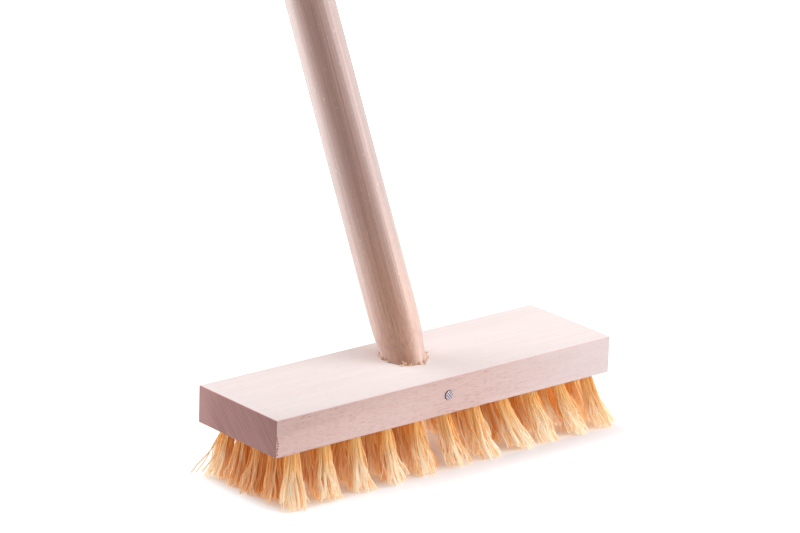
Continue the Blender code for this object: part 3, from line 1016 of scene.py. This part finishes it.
def splinter_tree(chip, material):
    """The tree that scatters chips round the foot of the stick."""
    tree = bpy.data.node_groups.new("splinter_ring", "GeometryNodeTree")
    identifiers = named_inputs(tree, CHIP)
    bench = Bench(tree)
    start = bench.add("NodeGroupInput")
    given = {socket.name: Wire(bench, socket) for socket in start.socket.node.outputs}
    sockets = {"Resolution": given["Chips"], "Radius": given["Ring Radius"] + 0.25 * MM}
    ring = bench.add("GeometryNodeCurvePrimitiveCircle", sockets=sockets)
    stretch = (1.0, 1 / math.cos(HANDLE_LEAN), 1.0)
    sockets = {"Geometry": ring, "Scale": stretch, "Translation": mouth}
    ring = bench.add("GeometryNodeTransform", sockets=sockets)
    points = bench.add("GeometryNodeCurveToPoints", {"mode": "EVALUATED"}, {"Curve": ring})
    place = bench.add("GeometryNodeInputPosition")
    patch = bench.noise(place, 190, 1.0)
    sockets = {"Geometry": points, "Selection": bench.maths("LESS_THAN", patch, 0.50)}
    points = bench.add("GeometryNodeDeleteGeometry", sockets=sockets)

    def luck(seed, low, high):
        sockets = {"Min": low, "Max": high, "Seed": given["Seed"] + seed}
        return bench.add("FunctionNodeRandomValue", {"data_type": "FLOAT_VECTOR"}, sockets)

    shift = luck(0, (-0.5 * MM, -0.5 * MM, 0.05 * MM), (0.5 * MM, 0.5 * MM, 0.7 * MM))
    points = bench.add("GeometryNodeSetPosition", sockets={"Geometry": points, "Offset": shift})
    own_size = luck(1, (0.4, 0.4, 0.5), (1.5, 1.5, 1.3))
    size = bench.vectors("MULTIPLY", own_size, bench.point(*[given["Chip Size"]] * 3))
    own_turn = luck(2, (-1.2, -1.2, 0.0), (1.2, 1.2, NEARLY_A_TURN))
    turn = bench.add("FunctionNodeEulerToRotation", sockets={0: own_turn})
    source = bench.add("GeometryNodeObjectInfo", sockets={"Object": chip}, out=4)
    sockets = {"Points": points, "Instance": source, "Rotation": turn, "Scale": size}
    chips = bench.add("GeometryNodeInstanceOnPoints", sockets=sockets)
    chips = bench.add("GeometryNodeRealizeInstances", sockets={"Geometry": chips})
    sockets = {"Geometry": chips, "Material": material}
    chips = bench.add("GeometryNodeSetMaterial", sockets=sockets)
    bench.add("NodeGroupOutput", sockets={"Geometry": chips})
    return tree, identifiers


chip = from_bmesh("chip", chip_mesh())
splinter_ring, splinter_inputs = splinter_tree(chip, splinter_wood())
empty = bpy.data.meshes.new("splinter_points")
splinters = grow("foot_splinters", splinter_ring, splinter_inputs, empty)
bpy.data.objects.remove(chip)
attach(splinters, "root")
print(f"splinters: {len(splinters.data.polygons)} faces")

# %% [markdown]
# ## Floor and light
#
# The photograph is a studio picture on a white table: a large soft lamp above, two at the
# sides, and little light from the camera. The floor glows, which lights the brush from below.
# Camera and glossy rays see it paler and with less glow, least of all close to the brush, so it
# looks as white as the photograph's and keeps a soft shade: partly real shadow and partly painted
# shade, where the glow is cut near the brush. That painted shade is lighter and cooler at the
# left and darker at the right, and right under the brush the floor is painted with a warm glow,
# as if lit through the fibres.

# %% Lay the floor
FLOOR_SIZE = 8.0
FLOOR_TONE = 0.45
FLOOR_GLOW = 0.75
FAR_GLOW = 0.05
CAMERA_LIFT = 0.40
FAR_LIFT = 1.2
SIDE_LIFT = 0.22
SHADE_REACH = 36 * MM
SHADE_EDGE = 4 * MM
SHADED_TONE, CLEAR_GAIN = 0.79, 0.11
FAR_DIMMING = 0.7
FAR_STARTS, FAR_ENDS = 0.20, 0.75
ENDS_FASTER, LEFT_FASTER = 1.7, 1.25

# What the painted shade gains in red, green and blue: all round, at the left and at the right
SHADE_TINTS = ((0.0, 0.12, -0.10), (0.01, 0.22, -0.10), (0.035, 0.24, -0.085))
# Painted light: the warm glow that the camera sees right under the brush.
BRUSH_GLOW = (0.16, 0.125, 0.10, 1.0)


def white_floor():
    """A white table that glows. The camera sees it evenly white, but for the soft shade, which is
    partly painted.
    """
    material = bpy.data.materials.new("white_floor")
    material.use_nodes = True
    bench = Bench(material.node_tree)
    bench.tree.nodes.clear()
    seen = bench.add("ShaderNodeLightPath")
    shown = bench.maths("MAXIMUM", seen, bench.other(seen, 3))
    place = bench.add("ShaderNodeTexCoord", out=3)
    away = bench.vectors("LENGTH", place)
    away = bench.other(away, 1)
    far = bench.ramp(away, FAR_STARTS, FAR_ENDS)
    x, y, _ = bench.parts(place)
    past_x = bench.maths("ABSOLUTE", x) - block_high.x
    past_y = bench.maths("ABSOLUTE", y) - block_high.y
    past_x = bench.maths("MAXIMUM", past_x, 0.0) * ENDS_FASTER
    past_y = bench.maths("MAXIMUM", past_y, 0.0)
    past = (past_x ** 2.0 + past_y ** 2.0) ** 0.5
    at_left = bench.ramp(x * -1.0, 0.0, block_high.x)
    at_right = bench.ramp(x, -0.02, 0.07) * (1 - bench.ramp(x, 0.09, 0.14))
    clear = bench.ramp(past * (1 + at_left * LEFT_FASTER), 0.0, SHADE_REACH)
    # Painted light beside the left end, where the lamps cast a shadow.
    beside = bench.ramp(x * -1.0, block_high.x - 0.012, block_high.x + 0.004)
    tone = FLOOR_TONE + shown * (SHADED_TONE + clear * CLEAR_GAIN - FLOOR_TONE)
    tone = tone * (1 - far * (1 - shown) * FAR_DIMMING)
    white = bench.point(tone, tone * 0.985, tone * 0.985)
    matt = bench.add("ShaderNodeBsdfDiffuse", sockets={"Color": white})
    unseen_glow = FLOOR_GLOW + far * (FAR_GLOW - FLOOR_GLOW)
    # Near the brush the camera sees less glow: painted shade.
    seen_glow = CAMERA_LIFT * (0.3 + clear * 0.7) + beside * SIDE_LIFT + far * FAR_LIFT
    glows = []
    for all_round, left, right in SHADE_TINTS:
        tinged = seen_glow + (1 - clear) * (all_round + at_left * left + at_right * right)
        glows.append(unseen_glow + shown * (tinged - unseen_glow))
    # Right under the brush the camera sees the painted warm glow.
    under = (1 - bench.ramp(past, 0.0, SHADE_EDGE)) * (1 - beside) * shown
    glow = bench.blend(under, bench.point(*glows), BRUSH_GLOW)
    lift = bench.add("ShaderNodeEmission", sockets={"Color": glow})
    both = bench.add("ShaderNodeAddShader", sockets={0: matt, 1: lift})
    bench.add("ShaderNodeOutputMaterial", sockets={"Surface": both})
    return material


bm = bmesh.new()
level = Matrix.Translation((0, 0, -UNDERSIDE_TO_FLOOR))
bmesh.ops.create_grid(bm, x_segments=1, y_segments=1, size=FLOOR_SIZE / 2, matrix=level)
floor = from_bmesh("white_floor", bm, white_floor())
print("floor at", round(-UNDERSIDE_TO_FLOOR, 4))

# %% Set up the lamps
AMBIENT = 0.12
LAMP_AIM = block_middle + Vector((0, 0, 0.12))
SIDE_LAMP = {"elevation": 16, "distance": 1.2, "width": 1.0, "height": 1.1}

scene = bpy.context.scene
scene.view_settings.view_transform = "Standard"
world = bpy.data.worlds.new("studio")
scene.world = world
world.use_nodes = True
bench = Bench(world.node_tree)
world.node_tree.nodes.clear()
path = bench.add("ShaderNodeLightPath")
way = bench.add("ShaderNodeTexCoord")
behind = bench.other(bench.vectors("DOT_PRODUCT", way, tuple(-back)), 1)
mirrored = bench.other(path, 3) * bench.ramp(behind, -0.1, 0.6)
plain = bench.maths("MAXIMUM", path, bench.maths("MAXIMUM", mirrored, bench.other(path, 6)))
sockets = {"Color": (1.0, 0.985, 0.985, 1.0), "Strength": AMBIENT + plain * (1.0 - AMBIENT)}
sky = bench.add("ShaderNodeBackground", sockets=sockets)
bench.add("ShaderNodeOutputWorld", sockets={"Surface": sky})


def soft_lamp(name, azimuth, elevation, distance, width, height, level):
    """A soft box that faces the brush, placed by degrees. Level is how bright its face looks."""
    lamp_data = bpy.data.lights.new(name, "AREA")
    lamp_data.shape = "RECTANGLE"
    lamp_data.size = width
    lamp_data.size_y = height
    lamp_data.energy = level * math.pi * width * height
    lamp = bpy.data.objects.new(name, lamp_data)
    _, _, way = level_and_turned(math.radians(azimuth), math.radians(elevation), 0.0)
    lamp.location = LAMP_AIM + way * distance
    lamp.rotation_euler = way.to_track_quat("Z", "Y").to_euler()
    lamp.visible_camera = False
    scene.collection.objects.link(lamp)


soft_lamp("lamp_above", 20, elevation=84, distance=2.0, width=2.46, height=2.46, level=1.6)
soft_lamp("lamp_right", 55, level=4.1, **SIDE_LAMP)
soft_lamp("lamp_left", -150, level=3.7, **SIDE_LAMP)
